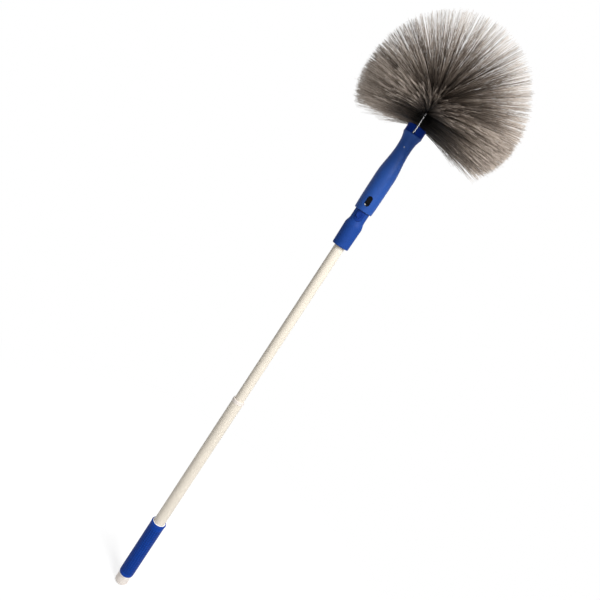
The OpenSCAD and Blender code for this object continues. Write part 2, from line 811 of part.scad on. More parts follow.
module bristles() {
    rows = strand_rows;
    inner_us = concat([0], [for (i = [0:8]) leg_len + arc_len * i / 8], [core_len]);
    inner_count = len(inner_us);
    inner_first = (rows + 1) * core_sides;
    strand_first = inner_first + inner_count * core_sides;
    bend = 0.45;
    bend_width = 0.8;
    tip_width = 0.5;

    outer_points = [for (k = [0:rows], j = [0:core_sides - 1])
        core_at(core_len * k / rows, core_step * (j + (k % 2) / 2), core_out_r)];
    inner_points = [for (u = inner_us, j = [0:core_sides - 1]) core_at(u, core_step * j, core_in_r)];

    // The root triangle of each strand, as numbers of outer points: two on its row's lower ring
    function on_ring(k, j) = k * core_sides + (j + 2 * core_sides) % core_sides;
    function root(k, j) = [on_ring(k, j), on_ring(k, j + 1), on_ring(k + 1, j + k % 2)];
    strands = [for (k = [0:rows - 1], i = [0:row_count(k) - 1]) if (has_strand(k, i)) [k, i]];
    roots = [for (s = strands) root(s[0], s[1] - 3 - (s[0] % 2))];
    tips = [for (s = strands) strand_tip(s[0], s[1])];
    strand_points = [for (s = [0:len(roots) - 1])
        let (r = [for (n = roots[s]) outer_points[n]], c = (r[0] + r[1] + r[2]) / 3,
            run = tips[s] - c, sink = sink_at(row_low(strands[s][0])) * pow(norm([run[0], run[1]]) / norm(run), 2),
            mid = c + bend * run + [0, 0, sink * bend * (1 - bend)])
        each concat(strand_ring(r, mid, bend_width), strand_ring(r, tips[s], tip_width))];

    function rooted(k, j) = has_strand(k, (j + 3 + (k % 2) + core_sides) % core_sides);
    up_faces = [for (k = [0:rows - 1], j = [0:core_sides - 1]) if (!rooted(k, j))
        let (t = root(k, j)) [t[0], t[2], t[1]]];
    down_faces = [for (k = [0:rows - 1], j = [0:core_sides - 1])
        let (m = j + k % 2) [on_ring(k + 1, m), on_ring(k + 1, m + 1), on_ring(k, j + 1)]];
    strand_faces = [for (s = [0:len(roots) - 1])
        let (t = roots[s], m = strand_first + 6 * s)
        each concat([for (e = [0:2]) let (f = (e + 1) % 3)
            each [[t[e], m + e, m + f], [t[e], m + f, t[f]],
                [m + e, m + 3 + e, m + 3 + f], [m + e, m + 3 + f, m + f]]],
            [[m + 3, m + 5, m + 4]])];
    inner_faces = [for (i = [0:inner_count - 2], j = [0:core_sides - 1])
        let (a = inner_first + i * core_sides + j, b = inner_first + i * core_sides + (j + 1) % core_sides)
        each [[a, b, b + core_sides], [a, b + core_sides, a + core_sides]]];
    last_ring = rows * core_sides;
    last_inner = inner_first + (inner_count - 1) * core_sides;
    end_faces = [for (j = [0:core_sides - 1]) let (n = (j + 1) % core_sides)
        each [[j, n, inner_first + j], [inner_first + j, n, inner_first + n],
            [last_ring + j, last_inner + j, last_ring + n],
            [last_inner + j, last_inner + n, last_ring + n]]];
    echo(strands = len(strands));
    color(TAUPE)
    polyhedron(points = concat(outer_points, inner_points, strand_points),
        faces = concat(up_faces, down_faces, strand_faces, inner_faces, end_faces), convexity = 10);
}

end_cap();
outer_tube();
grip_liner();
grip_sleeve();
guide_bush();
expanding_sleeve();
inner_tube();
lock_plug();
plug_pin();
stop_washer();
stop_screw();
adaptor();
adaptor_rivet();
release_clip();
brush_handle();
crown_plug();
anchor_pin();
wire_loop();
bristles();
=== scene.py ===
"""Looks for the cobweb brush: the finishes of its parts, the twisted wire and the bristles.

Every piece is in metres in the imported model's own frame: +Z up the pole, -Y towards the front.
"""

import math

import bmesh
import bpy
import numpy as np
from mathutils import Matrix, Vector, kdtree


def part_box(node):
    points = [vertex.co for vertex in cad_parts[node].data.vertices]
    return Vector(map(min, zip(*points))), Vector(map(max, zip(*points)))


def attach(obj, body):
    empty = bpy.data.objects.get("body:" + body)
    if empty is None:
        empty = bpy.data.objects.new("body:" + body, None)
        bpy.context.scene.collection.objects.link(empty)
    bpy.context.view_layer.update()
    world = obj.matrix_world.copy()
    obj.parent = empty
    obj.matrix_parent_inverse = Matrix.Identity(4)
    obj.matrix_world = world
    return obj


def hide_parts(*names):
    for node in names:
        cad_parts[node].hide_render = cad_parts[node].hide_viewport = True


bl_info = {
    "name": "Cobweb brush",
    "version": (1, 0, 0),
    "blender": (4, 5, 0),
    "location": "View3D > Sidebar > Brush",
    "description": "Dresses the cobweb brush's frame with its finishes, wire and bristles",
    "category": "Object",
}

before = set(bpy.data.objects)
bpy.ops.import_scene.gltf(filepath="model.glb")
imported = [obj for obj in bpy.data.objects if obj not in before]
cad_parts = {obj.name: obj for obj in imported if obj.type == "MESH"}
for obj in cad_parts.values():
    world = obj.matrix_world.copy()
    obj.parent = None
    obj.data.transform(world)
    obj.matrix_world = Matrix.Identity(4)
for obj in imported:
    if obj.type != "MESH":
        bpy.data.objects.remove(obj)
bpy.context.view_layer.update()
MM = 0.001
ALONG, SHADE = "along", "shade"

# The wire arch, read from the frame: it stands in the plane through the pole, front to back
WIRE_LOW, WIRE_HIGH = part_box("wire_loop")
CROWN_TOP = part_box("crown_plug")[1].z
HANDLE_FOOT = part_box("brush_handle")[0].z
LIP_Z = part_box("brush_handle")[1].z

# The lower left corner of the clip's catch, with a painted highlight: it stands out of the spigot, above the
# handle's lower end
GLINT_AT = (-3.0 * MM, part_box("release_clip")[0].y, HANDLE_FOOT + 12.2 * MM)

# The wire's legs stand LEG_Y from the middle at their feet, and bend out to the arch's width inside the crown
LEG_Y = 7 * MM
# The bends end this far above the handle's lip
BEND_RISE = 5 * MM
BEND_STEP = 8  # degrees from point to point round the bends
RIGHT = np.array([1.0, 0.0, 0.0])

# Each length of wire fans its filaments this far round to both sides
FAN = math.radians(98)
# The legs' front grows bare from this share of their way down, over this share of it
BARE_FROM, BARE_OVER = 0.4, 0.2
# How far a filament's way scatters, how far its slope does besides, and how much more low on the legs
WAY_SCATTER = 0.03
SLOPE_SCATTER, LOW_SLOPE_SCATTER = 0.012, 0.045
# Shares of the length: at the arch, what the lowest lack, the scatter, and the shortest stray
ARCH_REACH, LOW_SHORT, LENGTH_SCATTER, SHORTEST_STRAY = 1.015, 0.14, 0.014, 0.8
STRAYS = 0.04
# How much more the lowest filaments sag, and how much less they lean, than the upper ones
LOW_SAG, LOW_UPRIGHT = 5, 0.3
# How much of the way to its tuft an end is drawn, how much of that a stray is, and a tuft to its lock
TUFT_PULL, STRAY_PULL, LOCK_PULL = (0.25, 0.65), 0.1, 0.05
BOW = 1.3 * MM
# A root stands this many wire diameters from the wire's middle
ROOT_OUT = 0.9
# How much of a filament's shade is its tuft's
TUFT_SHADE = 0.7
# Low on the legs, how much painted light makes the filaments to the left paler, and painted shade the ones in
# front darker
LEFT_PAINTED_LIGHT, FRONT_PAINTED_SHADE = 0.6, 0.4
# Where along a filament its points lie, and its thickness there as a share of the root's
STEPS = np.array([0.0, 0.22, 0.48, 0.75, 1.0])
TAPER = np.array([1.0, 0.95, 0.88, 0.78, 0.55])


def linear(hex_colour):
    """An sRGB hex colour as linear red, green and blue."""
    channels = [int(hex_colour[i : i + 2], 16) / 255 for i in (1, 3, 5)]
    return tuple(c / 12.92 if c <= 0.04045 else ((c + 0.055) / 1.055) ** 2.4 for c in channels)


# What a user would change


class BristleSettings(bpy.types.PropertyGroup):
    strands: bpy.props.IntProperty(
        name="Strands", description="How many filaments the head has", default=11500, min=600, max=20000
    )
    tufts: bpy.props.IntProperty(
        name="Tufts", description="How many small tufts the filaments' ends gather into",
        default=3800, min=50, max=8000
    )
    locks: bpy.props.IntProperty(
        name="Locks", description="How many larger locks the tufts lean towards",
        default=260, min=10, max=1000
    )
    length: bpy.props.FloatProperty(
        name="Length", description="Length of a filament from the wire", default=146.5 * MM, unit="LENGTH"
    )
    thickness: bpy.props.FloatProperty(
        name="Thickness", description="Diameter of a filament near its root", default=0.42 * MM, unit="LENGTH"
    )
    droop: bpy.props.FloatProperty(
        name="Droop", description="How far the lowest filaments slope down",
        default=math.radians(3), unit="ROTATION"
    )
    nod: bpy.props.FloatProperty(
        name="Nod", description="How far the lowest filaments sink in front and rise behind",
        default=math.radians(6), unit="ROTATION"
    )
    sag: bpy.props.FloatProperty(
        name="Sag", description="How far a level filament's end sinks", default=2 * MM, unit="LENGTH"
    )
    lean: bpy.props.FloatProperty(
        name="Lean", description="How far the upper filaments lean to the right",
        default=13.5 * MM, unit="LENGTH"
    )
    bare: bpy.props.FloatProperty(
        name="Bare angle", description="How far to each side the legs' lower halves are bare in front",
        default=math.radians(34), unit="ROTATION"
    )
    thin: bpy.props.FloatProperty(
        name="Thinning", description="How many fewer filaments the legs' lower ends hold, as a share",
        default=0.6, min=0, max=0.9, subtype="FACTOR"
    )
    seed: bpy.props.IntProperty(name="Seed", description="Seed of the filaments' scatter", default=11)


class WireSettings(bpy.types.PropertyGroup):
    strand: bpy.props.FloatProperty(
        name="Wire", description="Diameter of each of the two wires", default=2.1 * MM, unit="LENGTH"
    )
    lay: bpy.props.FloatProperty(
        name="Lay", description="Length of one full turn of the twist", default=13 * MM, unit="LENGTH"
    )


def colour_setting(name, description, hex_colour):
    """A colour that the user can change."""
    return bpy.props.FloatVectorProperty(
        name=name, description=description, default=linear(hex_colour), size=3, subtype="COLOR", min=0, max=1
    )


class ColourSettings(bpy.types.PropertyGroup):
    enamel: colour_setting("Enamel", "The cream enamel of both tubes", "#E8DFD0")
    cream: colour_setting("Cream plastic", "The cap and the bush", "#F0E7DF")
    rim: colour_setting("Liner", "The white liner at both ends of the grip", "#FAF9F6")
    grip: colour_setting("Grip", "The blue hand grip", "#0A409F")
    handle: colour_setting("Handle", "The brush's blue handle", "#1F4B98")
    adaptor: colour_setting("Adaptor", "The blue adaptor", "#143F8C")
    dark: colour_setting("Dark blue", "The crown", "#042F8C")
    thumb: colour_setting("Thumb pad", "The release clip's thumb pad", "#0F3482")
    lock: colour_setting("Lock", "The grey lock inside the pole", "#8F8F8C")
    steel: colour_setting("Steel", "The lock's pin, washer and screw, and the rivet", "#D9DBDE")
    zinc: colour_setting("Zinc", "The galvanised wire", "#FCFCFF")
    pin: colour_setting("Pin", "The dull end of the pin through the waist", "#8793B0")
    # The catch's near-black is painted shade inside the handle's slot
    catch: colour_setting("Catch", "The clip's catch in the slot", "#07080C")
    # The pale corner of the catch is a painted highlight
    glint: colour_setting("Glint", "The catch's corner, rubbed pale", "#F2F3F5")
    # The bristles' dark root is painted shade and their pale tip painted light
    root: colour_setting("Bristle root", "Filaments near the wire", "#1E1B18")
    middle: colour_setting("Bristle middle", "Filaments half way out", "#7E7267")
    tip: colour_setting("Bristle tip", "Filaments' pale ends", "#C6B9AD")


class StageSettings(bpy.types.PropertyGroup):
    distance: bpy.props.FloatProperty(
        name="Camera distance", description="From the lens to the pole", default=1.158, unit="LENGTH"
    )
    height: bpy.props.FloatProperty(
        name="Aim height", description="Height on the pole at the middle of the picture",
        default=0.7443, unit="LENGTH"
    )
    side: bpy.props.FloatProperty(
        name="Aim side", description="How far right of the pole the camera aims",
        default=-0.0075, unit="LENGTH"
    )
    pitch: bpy.props.FloatProperty(
        name="Pitch", description="How far the camera looks down", default=math.radians(12), unit="ROTATION"
    )
    swing: bpy.props.FloatProperty(
        name="Swing", description="How far the camera stands to the right of the front",
        default=math.radians(4.5), unit="ROTATION"
    )
    roll: bpy.props.FloatProperty(
        name="Roll", description="How far the pole leans to the right in the picture",
        default=math.radians(33.15), unit="ROTATION"
    )


# Materials

SMOOTH = {"interpolation_type": "SMOOTHSTEP"}
# A Mix node of colours takes its share at 0 and its colours at 6 and 7, and gives the mix at 2
COLOURS = {"data_type": "RGBA"}


def add_node(tree, kind, settings=None, inputs=None):
    """A new node with its settings, and its inputs linked to a socket or set to a value."""
    made = tree.nodes.new(kind)
    for name, value in (settings or {}).items():
        setattr(made, name, value)
    for name, value in (inputs or {}).items():
        if isinstance(value, bpy.types.NodeSocket):
            tree.links.new(value, made.inputs[name])
        else:
            made.inputs[name].default_value = value
    return made


def rgba(colour, factor=1.0):
    """An opaque colour, made lighter or darker by a factor."""
    return (*[min(1.0, c * factor) for c in colour], 1.0)


def new_material(name):
    """An empty material, its node tree and the object's own coordinates in it."""
    material = bpy.data.materials.new(name)
    material.use_nodes = True
    tree = material.node_tree
    tree.nodes.clear()
    place = add_node(tree, "ShaderNodeTexCoord").outputs["Object"]
    return material, tree, place


def shows_background(tree):
    """1 for a ray from the camera, a gloss or a clear material, 0 for one that only gathers light."""
    rays = add_node(tree, "ShaderNodeLightPath")
    direct = add_node(tree, "ShaderNodeMath", {"operation": "MAXIMUM"}, {
        0: rays.outputs["Is Camera Ray"], 1: rays.outputs["Is Glossy Ray"]})
    either = add_node(tree, "ShaderNodeMath", {"operation": "MAXIMUM"}, {
        0: direct.outputs[0], 1: rays.outputs["Is Transmission Ray"]})
    return either.outputs[0]


def mottled(tree, place, colour, size, amount):
    """The colour, a little lighter and darker in soft patches of about size metres."""
    noise = add_node(tree, "ShaderNodeTexNoise", inputs={"Vector": place, "Scale": 1 / size, "Detail": 3.0})
    ramp = add_node(tree, "ShaderNodeValToRGB", inputs={"Fac": noise.outputs["Fac"]})
    ramp.color_ramp.elements[0].position = 0.3
    ramp.color_ramp.elements[0].color = rgba(colour, 1 - amount)
    ramp.color_ramp.elements[1].position = 0.7
    ramp.color_ramp.elements[1].color = rgba(colour, 1 + amount)
    return ramp.outputs["Color"]


def handled(tree, place, size, detail, low, high):
    """A roughness from low to high that drifts in patches of about size metres."""
    noise = add_node(tree, "ShaderNodeTexNoise", inputs={
        "Vector": place, "Scale": 1 / size, "Detail": detail})
    rough = add_node(tree, "ShaderNodeMapRange", inputs={
        "Value": noise.outputs["Fac"], "To Min": low, "To Max": high})
    return rough.outputs["Result"]


def grained(tree, place, size, detail, strength, depth, harshness=0.5):
    """The surface's direction, tilted by a random grain of about size metres.

    The plastics' real grain is 0.1 or 0.2 mm across; it is drawn at 0.8 or 0.9 mm, which shows close up.
    """
    noise = add_node(tree, "ShaderNodeTexNoise", inputs={
        "Vector": place, "Scale": 1 / size, "Detail": detail, "Roughness": harshness})
    bump = add_node(tree, "ShaderNodeBump", inputs={
        "Height": noise.outputs["Fac"], "Strength": strength, "Distance": depth})
    return bump.outputs[0]


def seam_ridge(tree, place):
    """1 on the mould's parting line at the left and right sides of a piece, 0 elsewhere."""
    half_width = 0.25 * MM
    split = add_node(tree, "ShaderNodeSeparateXYZ", inputs={"Vector": place})
    away = add_node(tree, "ShaderNodeMath", {"operation": "ABSOLUTE"}, {0: split.outputs["Y"]})
    near = add_node(tree, "ShaderNodeMapRange", SMOOTH, {
        "Value": away.outputs[0], "From Min": 0.0, "From Max": half_width, "To Min": 1.0, "To Max": 0.0})
    return near.outputs["Result"]


def stoved_enamel(colours):
    """Steel tube sprayed with enamel and stoved: a smooth skin with a faint orange peel and a soft gloss."""
    material, tree, place = new_material("stoved cream enamel on steel tube")
    # Hands slide along the pole, so the patches of gloss are about eight times as long as they are wide
    along = add_node(tree, "ShaderNodeMapping", inputs={"Vector": place, "Scale": (1.0, 1.0, 0.12)})
    # Orange peel is really 1 or 2 mm across, too fine for the render, so it is drawn at 5 mm
    peel = grained(tree, place, 5 * MM, 1.0, 0.06, 0.03 * MM)
    shader = add_node(tree, "ShaderNodeBsdfPrincipled", inputs={
        "Base Color": mottled(tree, place, colours.enamel, 30 * MM, 0.015),
        "Roughness": handled(tree, along.outputs[0], 25 * MM, 2.0, 0.36, 0.44),
        "IOR": 1.5, "Specular IOR Level": 0.35, "Coat Weight": 0.08, "Coat Roughness": 0.25,
        "Normal": peel,
    })
    add_node(tree, "ShaderNodeOutputMaterial", inputs={"Surface": shader.outputs[0]})
    return material


def moulded_plastic(name, colour, roughness, gloss=0.3, seam=True):
    """Injection-moulded plastic: an even satin grain from a spark-eroded tool, and a fine parting line."""
    material, tree, place = new_material(name)
    normal = grained(tree, place, 0.9 * MM, 4.0, 0.5, 0.03 * MM, harshness=0.6)
    if seam:
        line = add_node(tree, "ShaderNodeBump", inputs={
            "Height": seam_ridge(tree, place), "Strength": 0.6, "Distance": 0.12 * MM, "Normal": normal})
        normal = line.outputs[0]
    shader = add_node(tree, "ShaderNodeBsdfPrincipled", inputs={
        "Base Color": mottled(tree, place, colour, 9 * MM, 0.05),
        "Roughness": handled(tree, place, 22 * MM, 3.0, roughness - 0.05, roughness + 0.07),
        "IOR": 1.49, "Specular IOR Level": gloss, "Normal": normal,
    })
    add_node(tree, "ShaderNodeOutputMaterial", inputs={"Surface": shader.outputs[0]})
    return material


def clip_plastic(colours):
    """Moulded acetal, blue on the thumb pad; painted shade inside the handle, a painted highlight at one
    corner.
    """
    material, tree, place = new_material("moulded acetal release clip")
    split = add_node(tree, "ShaderNodeSeparateXYZ", inputs={"Vector": place})
    # Above the handle's lower end the clip is painted near-black, as shade inside the handle's slot
    slot_shade = add_node(tree, "ShaderNodeMapRange", SMOOTH, {
        "Value": split.outputs["Z"], "From Min": HANDLE_FOOT, "From Max": HANDLE_FOOT + 3 * MM})
    base = add_node(tree, "ShaderNodeMix", COLOURS, {
        0: slot_shade.outputs[0], 6: mottled(tree, place, colours.thumb, 9 * MM, 0.05), 7: rgba(colours.catch)})
    # A painted highlight on the catch's lower left corner
    corner = add_node(tree, "ShaderNodeVectorMath", {"operation": "DISTANCE"}, {0: place, 1: GLINT_AT})
    glinting = add_node(tree, "ShaderNodeMapRange", SMOOTH, {
        "Value": corner.outputs["Value"], "From Min": 1.4 * MM, "From Max": 2.4 * MM,
        "To Min": 1.0, "To Max": 0.0})
    colour = add_node(tree, "ShaderNodeMix", COLOURS, {
        0: glinting.outputs[0], 6: base.outputs[2], 7: rgba(colours.glint)})
    shader = add_node(tree, "ShaderNodeBsdfPrincipled", inputs={
        "Base Color": colour.outputs[2], "Roughness": 0.4, "IOR": 1.48, "Specular IOR Level": 0.12,
        "Normal": grained(tree, place, 0.9 * MM, 3.0, 0.4, 0.03 * MM),
    })
    add_node(tree, "ShaderNodeOutputMaterial", inputs={"Surface": shader.outputs[0]})
    return material


def raised_squares(tree, place):
    """1 on the grip's small raised squares and its plain ends, 0 in the grooves between the squares."""
    # The squares are really about 3 mm apart, too fine for the render: 20 columns go round the 101 mm girth
    columns, row = 20.0, 5 * MM
    split = add_node(tree, "ShaderNodeSeparateXYZ", inputs={"Vector": place})
    turn = add_node(tree, "ShaderNodeMath", {"operation": "ARCTAN2"}, {
        0: split.outputs["X"], 1: split.outputs["Y"]})
    waves = []
    for value, factor in ((turn.outputs[0], columns), (split.outputs["Z"], 2 * math.pi / row)):
        angle = add_node(tree, "ShaderNodeMath", {"operation": "MULTIPLY"}, {0: value, 1: factor})
        waves.append(add_node(tree, "ShaderNodeMath", {"operation": "COSINE"}, {0: angle.outputs[0]}))
    lines = add_node(tree, "ShaderNodeMath", {"operation": "MAXIMUM"}, {
        0: waves[0].outputs[0], 1: waves[1].outputs[0]})
    squares = add_node(tree, "ShaderNodeMapRange", SMOOTH, {
        "Value": lines.outputs[0], "From Min": 0.5, "From Max": 0.95, "To Min": 1.0, "To Max": 0.0})
    # The pattern stops short of the grip's ends
    low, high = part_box("grip_sleeve")
    above = add_node(tree, "ShaderNodeMapRange", SMOOTH, {
        "Value": split.outputs["Z"], "From Min": low.z + 8 * MM, "From Max": low.z + 10 * MM})
    below = add_node(tree, "ShaderNodeMapRange", SMOOTH, {
        "Value": split.outputs["Z"], "From Min": high.z - 14 * MM, "From Max": high.z - 12 * MM,
        "To Min": 1.0, "To Max": 0.0})
    inside = add_node(tree, "ShaderNodeMath", {"operation": "MULTIPLY"}, {
        0: above.outputs[0], 1: below.outputs[0]})
    # A Mix node of plain numbers takes them at 2 and 3
    raised = add_node(tree, "ShaderNodeMix", {"data_type": "FLOAT"}, {
        0: inside.outputs[0], 2: 1.0, 3: squares.outputs[0]})
    return raised.outputs[0]


def grip_plastic(colours):
    """Soft moulded grip: small raised squares with painted shade in the grooves between them, worn a little
    smoother in patches.
    """
    material, tree, place = new_material("soft moulded blue grip")
    raised = raised_squares(tree, place)
    bump = add_node(tree, "ShaderNodeBump", inputs={
        "Height": raised, "Strength": 0.7, "Distance": 0.3 * MM,
        "Normal": grained(tree, place, 0.8 * MM, 3.0, 0.4, 0.04 * MM)})
    # The grooves between the squares are painted half as bright, as shade
    colour = add_node(tree, "ShaderNodeMix", COLOURS, {
        0: raised, 6: rgba(colours.grip, 0.5), 7: mottled(tree, place, colours.grip, 7 * MM, 0.08)})
    shader = add_node(tree, "ShaderNodeBsdfPrincipled", inputs={
        "Base Color": colour.outputs[2], "Roughness": handled(tree, place, 18 * MM, 3.0, 0.42, 0.6),
        "IOR": 1.48, "Specular IOR Level": 0.1, "Normal": bump.outputs[0],
    })
    add_node(tree, "ShaderNodeOutputMaterial", inputs={"Surface": shader.outputs[0]})
    return material


def drawn_metal(name, colour, roughness):
    """Drawn or plated metal: bright, with fine lines along it and duller flecks."""
    material, tree, place = new_material(name)
    # Real draw lines are finer than 0.1 mm, so they are drawn at 0.3 mm
    along = add_node(tree, "ShaderNodeMapping", inputs={"Vector": place, "Scale": (1.0, 1.0, 0.08)})
    shader = add_node(tree, "ShaderNodeBsdfPrincipled", inputs={
        "Base Color": mottled(tree, place, colour, 2 * MM, 0.08), "Metallic": 1.0,
        "Roughness": handled(tree, place, 1.2 * MM, 4.0, roughness - 0.08, roughness + 0.1),
        "Normal": grained(tree, along.outputs[0], 0.3 * MM, 2.0, 0.25, 0.02 * MM),
    })
    add_node(tree, "ShaderNodeOutputMaterial", inputs={"Surface": shader.outputs[0]})
    return material


def stiff_filament(colours):
    """Extruded polypropylene filament: dark with painted shade near the wire, pale with painted light at its
    frayed cut end.

    A filament carries how far along it each point is, and its own shade, so that the head looks streaked.
    """
    material, tree, _ = new_material("stiff extruded bristle filament")
    along = add_node(tree, "ShaderNodeAttribute", {"attribute_name": ALONG})
    shade = add_node(tree, "ShaderNodeAttribute", {"attribute_name": SHADE})
    # The shade shifts a filament's colours towards its root or its tip by up to half its length
    shift = add_node(tree, "ShaderNodeMapRange", inputs={
        "Value": shade.outputs["Fac"], "To Min": -0.5, "To Max": 0.5})
    streaky = add_node(tree, "ShaderNodeMath", {"operation": "ADD"}, {
        0: along.outputs["Fac"], 1: shift.outputs[0]})
    ramp = add_node(tree, "ShaderNodeValToRGB", inputs={"Fac": streaky.outputs[0]})
    stops = ramp.color_ramp.elements
    # The dark root is painted shade where the filaments crowd, and the pale tip is painted light
    stops[0].position, stops[0].color = 0.12, rgba(colours.root)
    stops[1].position, stops[1].color = 1.0, rgba(colours.tip)
    for position, factor in ((0.55, 0.75), (0.85, 1.15)):
        stops.new(position).color = rgba(colours.middle, factor)
    shader = add_node(tree, "ShaderNodeBsdfPrincipled", inputs={
        "Base Color": ramp.outputs["Color"], "Roughness": 0.5, "IOR": 1.49, "Specular IOR Level": 0.35})
    add_node(tree, "ShaderNodeOutputMaterial", inputs={"Surface": shader.outputs[0]})
    return material


def studio_floor():
    """Matt white paper: to the camera white, apart from the object's shadow near its foot."""
    material, tree, place = new_material("white studio floor")
    matt = add_node(tree, "ShaderNodeBsdfDiffuse", inputs={"Color": (0.75, 0.75, 0.75, 1)})
    # To the camera the lit floor is lifted just to white, so that only the shadow shows on it
    lift = add_node(tree, "ShaderNodeEmission", inputs={"Color": (1, 1, 1, 1), "Strength": 0.45})
    lit = add_node(tree, "ShaderNodeAddShader", inputs={0: matt.outputs[0], 1: lift.outputs[0]})
    white = add_node(tree, "ShaderNodeEmission", inputs={"Color": (1, 1, 1, 1), "Strength": 1.0})
    # The shadow is half faded at the foot and gone 0.9 m away
    away = add_node(tree, "ShaderNodeVectorMath", {"operation": "LENGTH"}, {0: place})
    beyond = add_node(tree, "ShaderNodeMapRange", SMOOTH, {
        "Value": away.outputs["Value"], "From Min": 0.2, "From Max": 0.9, "To Min": 0.5})
    shown = add_node(tree, "ShaderNodeMixShader", inputs={
        0: beyond.outputs[0], 1: lit.outputs[0], 2: white.outputs[0]})
    mixed = add_node(tree, "ShaderNodeMixShader", inputs={
        0: shows_background(tree), 1: matt.outputs[0], 2: shown.outputs[0]})
    add_node(tree, "ShaderNodeOutputMaterial", inputs={"Surface": mixed.outputs[0]})
    return material


def dress(names, material):
    """Gives CAD nodes a material."""
    for name in names:
        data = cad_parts[name].data
        data.materials.clear()
        data.materials.append(material)


# Wire and bristles


def wire_settings():
    """The wire's settings, which the bristles are placed by too."""
    return bpy.context.scene.brush_wire


def arch_sizes():
    """Radius of the arch, the height of its middle and the height where the bristles start."""
    radius = WIRE_HIGH.y - wire_settings().strand / 2
    return radius, WIRE_HIGH.z - wire_settings().strand / 2 - radius, CROWN_TOP + 2 * MM


def tube_curve(name, paths, radii, sides_resolution):
    """A mesh of round tubes, one along each path, with a radius at each of its points."""
    curve = bpy.data.curves.new(name, "CURVE")
    curve.dimensions = "3D"
    curve.bevel_depth = 1.0
    curve.bevel_resolution = sides_resolution
    curve.use_fill_caps = True
    curve.twist_mode = "MINIMUM"
    for path, radius in zip(paths, radii):
        spline = curve.splines.new("POLY")
        spline.points.add(len(path) - 1)
        spline.points.foreach_set("co", np.hstack([path, np.ones((len(path), 1))]).astype(np.float32).ravel())
        spline.points.foreach_set("radius", np.asarray(radius, np.float32))
    holder = bpy.data.objects.new(name + "_path", curve)
    bpy.context.scene.collection.objects.link(holder)
    bpy.context.view_layer.update()
    mesh = bpy.data.meshes.new_from_object(holder.evaluated_get(bpy.context.evaluated_depsgraph_get()))
    bpy.data.objects.remove(holder)
    bpy.data.curves.remove(curve)
    mesh.name = name
    made = bpy.data.objects.new(name, mesh)
    bpy.context.scene.collection.objects.link(made)
    return made


def finish_piece(piece, material, body, replaced):
    """Gives a new piece its material, its body and the CAD nodes that it stands for."""
    piece.data.materials.clear()
    piece.data.materials.append(material)
    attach(piece, body)
    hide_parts(*replaced)


def loop_path(step):
    """Points from the wire's front foot over the arch to its rear foot, and the way out at each of them."""
    radius, arch_z, _ = arch_sizes()
    bend = (radius - LEG_Y) / 2
    bend_z = LIP_Z + BEND_RISE
    bend_foot = bend_z - 2 * bend
    quarter = [(math.sin(turn), math.cos(turn)) for turn in np.radians(np.arange(0, 90, BEND_STEP))]
    arc = np.radians(np.arange(0, 90, math.degrees(step / radius)))
    half = [(LEG_Y, z, 1.0, 0.0) for z in np.arange(WIRE_LOW.z, bend_foot, step)]
    half += [(LEG_Y + bend * (1 - c), bend_foot + bend * s, c, -s) for s, c in quarter]
    half += [(LEG_Y + bend + bend * s, bend_z - bend * c, s, -c) for s, c in quarter]
    half += [(radius, z, 1.0, 0.0) for z in np.arange(bend_z, arch_z, step)]
    half += [(radius * math.cos(t), arch_z + radius * math.sin(t), math.cos(t), math.sin(t)) for t in arc]
    front = [(-y, z, -ny, nz) for y, z, ny, nz in half]
    top = [(0.0, arch_z + radius, 0.0, 1.0)]
    rows = np.array(front + top + half[::-1])
    path = np.column_stack([np.zeros(len(rows)), rows[:, 0], rows[:, 1]])
    out = np.column_stack([np.zeros(len(rows)), rows[:, 2], rows[:, 3]])
    return path, out


def wire_point(u):
    """Places on the wire, the way out from the arch and the share down a leg, at lengths u along it.

    The lengths start at the front leg's lowest bristle.
    """
    radius, arch_z, start_z = arch_sizes()
    leg = arch_z - start_z
    arc = math.pi * radius
    turn = np.pi * np.clip((u - leg) / arc, 0, 1)
    drop = np.maximum(0, np.maximum(leg - u, u - leg - arc))
    out = np.column_stack([np.zeros_like(u), -np.cos(turn), np.sin(turn)])
    place = np.array([0, 0, arch_z]) + radius * out
    place[:, 2] -= drop
    return place, out, drop / leg


def gathered(tips, number, pull, rng):
    """The ends drawn towards the nearest of a number of chosen ends, each by its own share of pull."""
    chosen = rng.choice(len(tips), number, replace=False)
    tree = kdtree.KDTree(number)
    for place, index in enumerate(chosen):
        tree.insert(tips[index], place)
    tree.balance()
    nearest = np.array([tree.find(tip)[1] for tip in tips])
    return tips + pull[:, None] * (tips[chosen][nearest] - tips), nearest


def spots_on_wire(settings, rng):
    """Where along the wire the filaments stand, fewer on the legs than on the arch, and the wire's length."""
    radius, arch_z, start_z = arch_sizes()
    length = 2 * (arch_z - start_z) + math.pi * radius
    spots = rng.uniform(0, length, 2 * settings.strands)
    kept = rng.uniform(size=len(spots)) > settings.thin * wire_point(spots)[2]
    return spots[kept][: settings.strands], length


def fanned(settings, out, low, rng):
    """Each filament's way from the wire, fanned to both sides; low on the legs none points straight out."""
    count = len(low)
    bare = settings.bare * np.clip((low - BARE_FROM) / BARE_OVER, 0, 1)
    angle = bare + (FAN - bare) * rng.uniform(0, 1, count)
    angle *= np.where(rng.uniform(size=count) < 0.5, -1, 1)
    way = np.sin(angle)[:, None] * RIGHT + np.cos(angle)[:, None] * out
    way += rng.normal(0, WAY_SCATTER, (count, 3))
    slope = rng.normal(0, 1, count) * (SLOPE_SCATTER + LOW_SLOPE_SCATTER * low**3)
    way[:, 2] -= np.tan(settings.droop * low + slope)
    way[:, 2] += math.tan(settings.nod) * low * way[:, 1]
    return way / np.linalg.norm(way, axis=1)[:, None]


